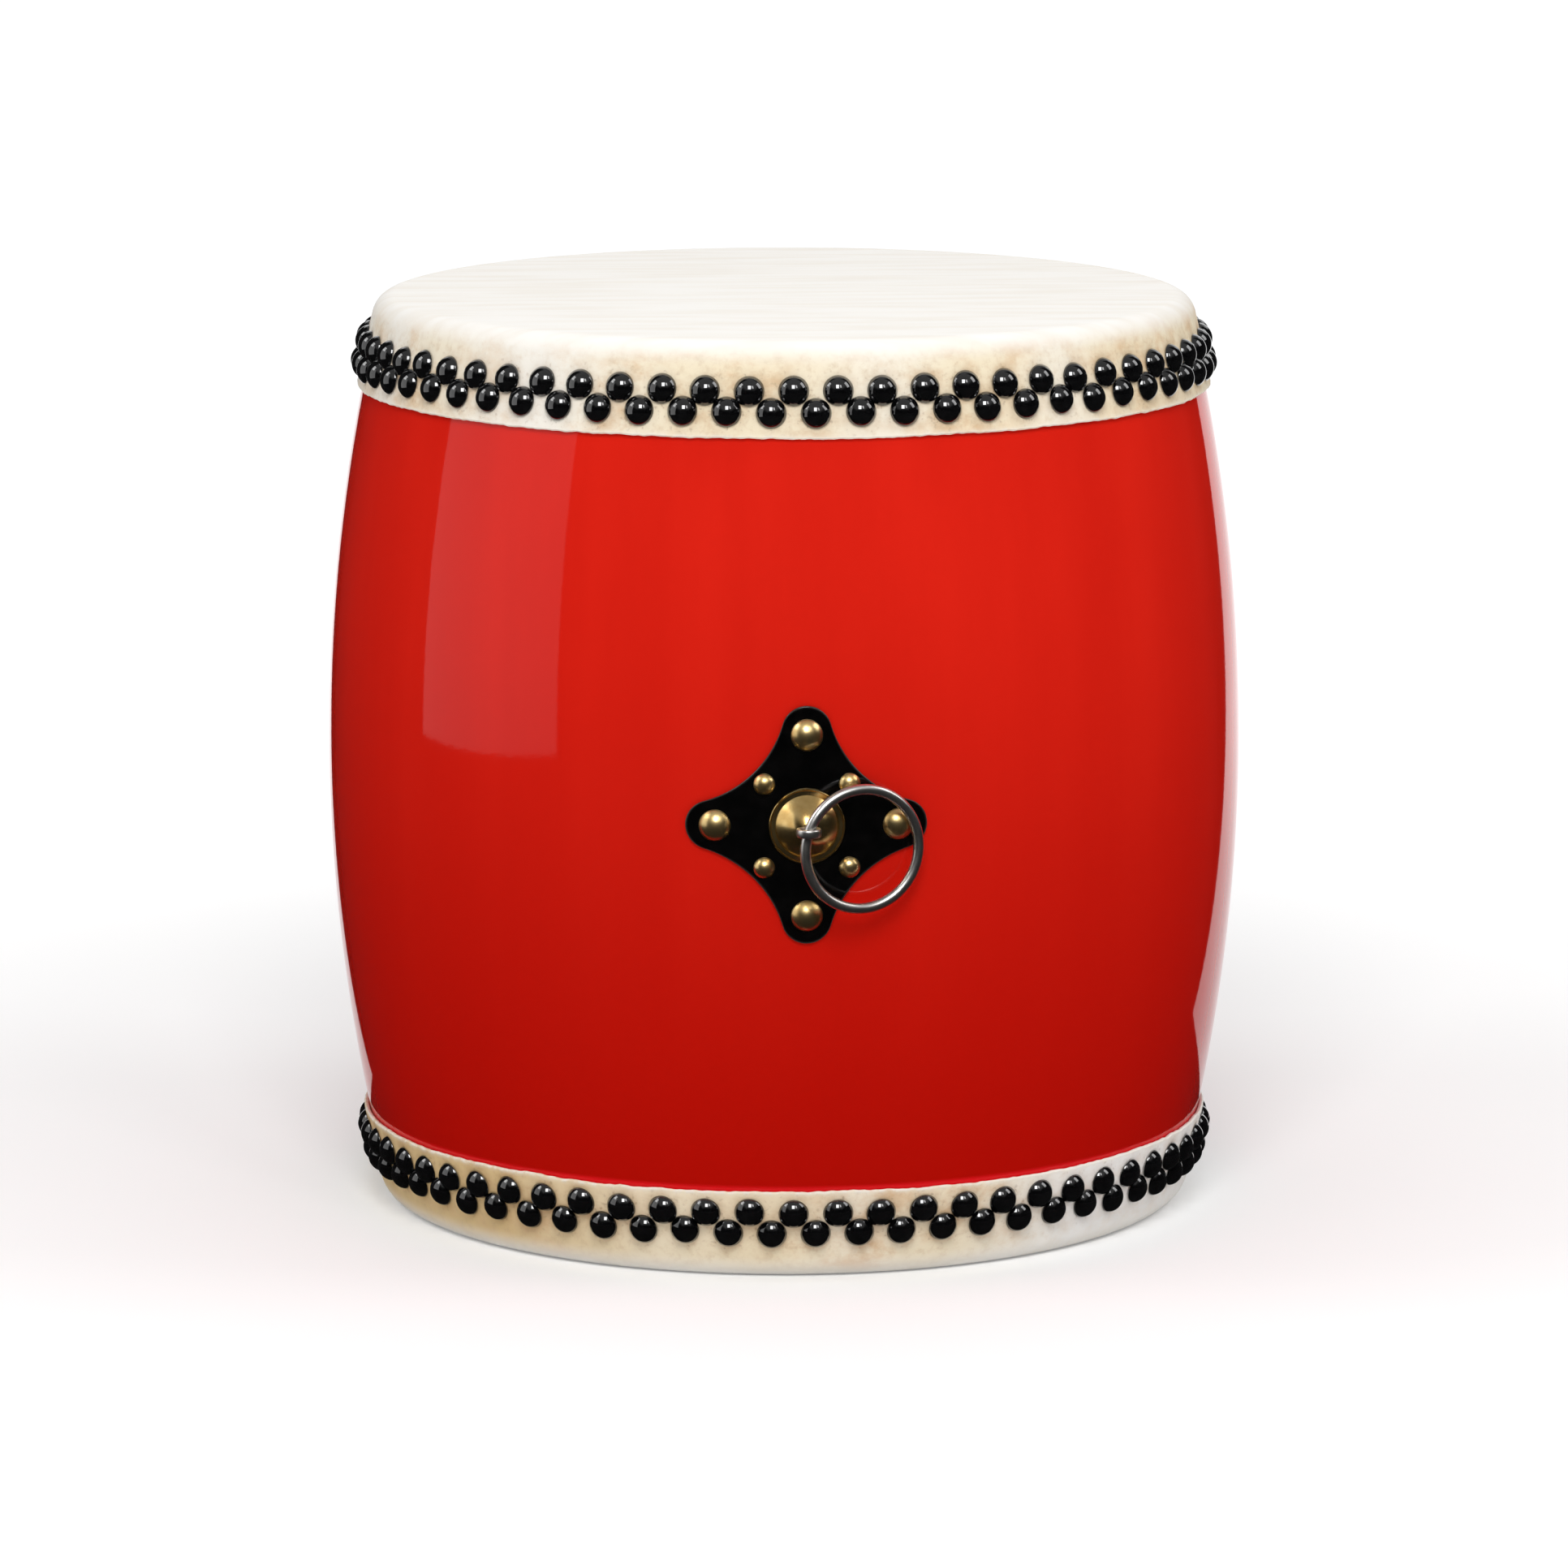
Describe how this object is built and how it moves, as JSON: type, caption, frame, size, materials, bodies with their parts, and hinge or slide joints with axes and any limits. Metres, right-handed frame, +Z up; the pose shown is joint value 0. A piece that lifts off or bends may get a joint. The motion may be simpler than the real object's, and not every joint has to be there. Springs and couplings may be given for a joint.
{
  "type": "barrel drum",
  "caption": "Lacquered wooden barrel drum with a tacked skin on each end and a hinged hand ring on a four-lobed plate at front and back.",
  "frame": {"origin": "centre of the lower skin's face, on the floor", "axes": "+Z up along the drum's axis, -Y out of the front fitting, +X to the right of someone who faces the front fitting"},
  "size_m": [0.4024, 0.446, 0.4],
  "materials": {
    "red_lacquer": "glossy red lacquer over hollowed wood",
    "hide": "dry cream cowhide, matte, tan towards its edge",
    "tack_black": "glossy black tack heads",
    "plate_black": "semi-gloss black enamel",
    "brass": "satin gold brass",
    "steel": "bright worn steel"
  },
  "bodies": {
    "drum": {"body_shell": "red_lacquer", "head_top": "hide", "head_bottom": "hide", "tacks_top": "tack_black", "tacks_bottom": "tack_black", "front_plate": "plate_black", "front_boss": "brass", "front_nail_right": "brass", "front_nail_top": "brass", "front_nail_left": "brass", "front_nail_bottom": "brass", "front_small_nail_1": "brass", "front_small_nail_2": "brass", "front_small_nail_3": "brass", "front_small_nail_4": "brass", "front_split_pin": "steel", "front_pin_washer": "steel", "back_plate": "plate_black", "back_boss": "brass", "back_nail_right": "brass", "back_nail_top": "brass", "back_nail_left": "brass", "back_nail_bottom": "brass", "back_small_nail_1": "brass", "back_small_nail_2": "brass", "back_small_nail_3": "brass", "back_small_nail_4": "brass", "back_split_pin": "steel", "back_pin_washer": "steel"},
    "front_ring_body": {"front_ring": "steel"},
    "back_ring_body": {"back_ring": "steel"}
  },
  "joints": [
    {"name": "front_ring_swing", "type": "hinge", "parent": "drum", "child": "front_ring_body", "pos_m": [0, -0.21765, 0.2], "axis": [0, 0, -1], "range_deg": [0, 215]},
    {"name": "back_ring_swing", "type": "hinge", "parent": "drum", "child": "back_ring_body", "pos_m": [0, 0.21765, 0.2], "axis": [0, 0, -1], "range_deg": [0, 215]}
  ]
}
